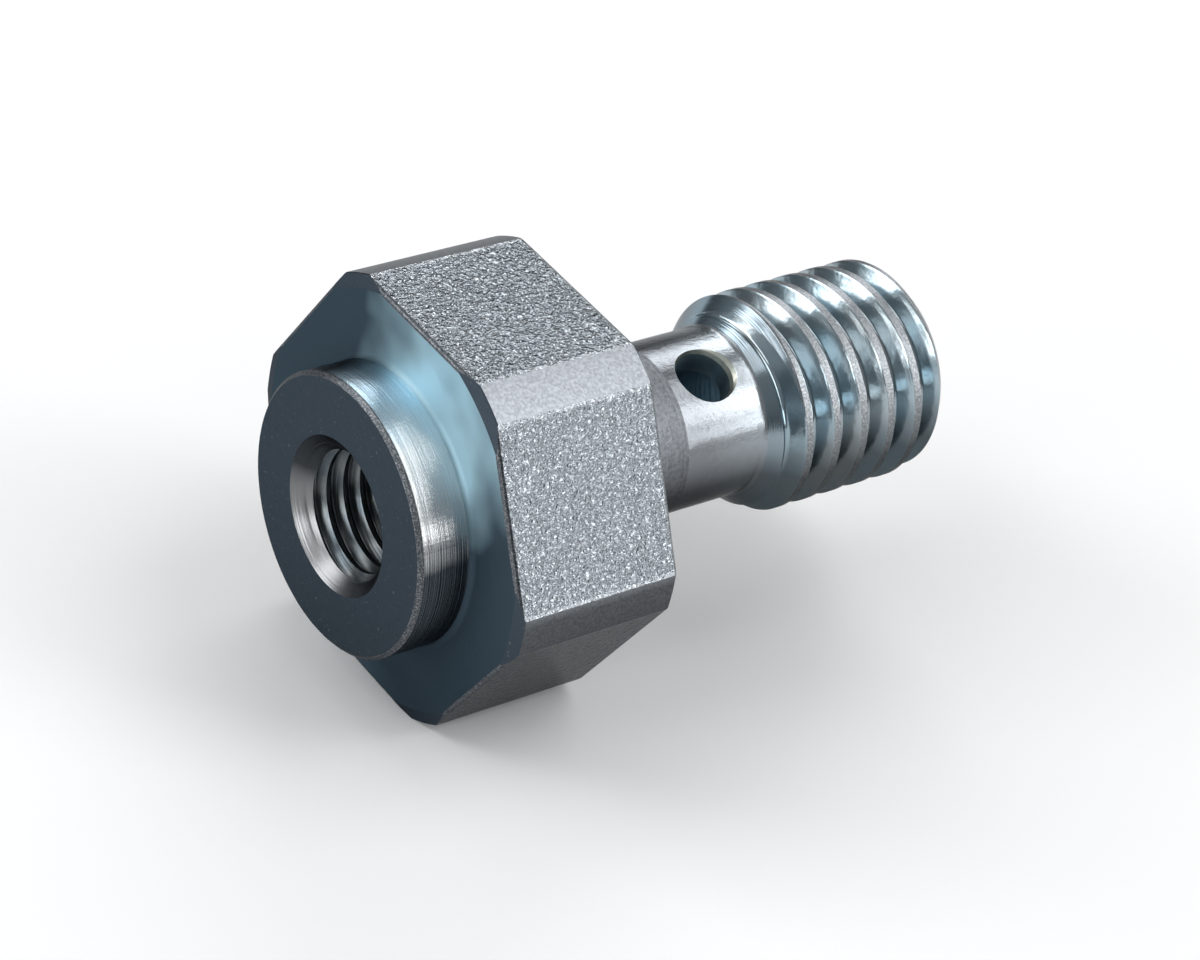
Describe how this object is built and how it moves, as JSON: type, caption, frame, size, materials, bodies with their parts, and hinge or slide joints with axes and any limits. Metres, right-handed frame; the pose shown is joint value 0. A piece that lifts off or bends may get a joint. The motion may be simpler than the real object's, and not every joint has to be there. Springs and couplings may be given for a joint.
{
  "type": "breather screw",
  "caption": "Hollow hexagon screw with a tapped boss on its head, a cross-drilled neck under the head and a threaded end.",
  "frame": {"origin": "on the screw's axis, in the plane of the seat under the hexagon head", "axes": "+X along the axis towards the end of the screw thread, +Z square to one flat of the hexagon, which faces up, and +Y completes a right-handed frame"},
  "size_m": [0.037, 0.0244, 0.0222],
  "materials": {
    "zinc_steel": "bright zinc plating over turned and forged steel, with a faint blue tint"
  },
  "bodies": {
    "root": {"breather_screw": "zinc_steel"}
  },
  "joints": []
}
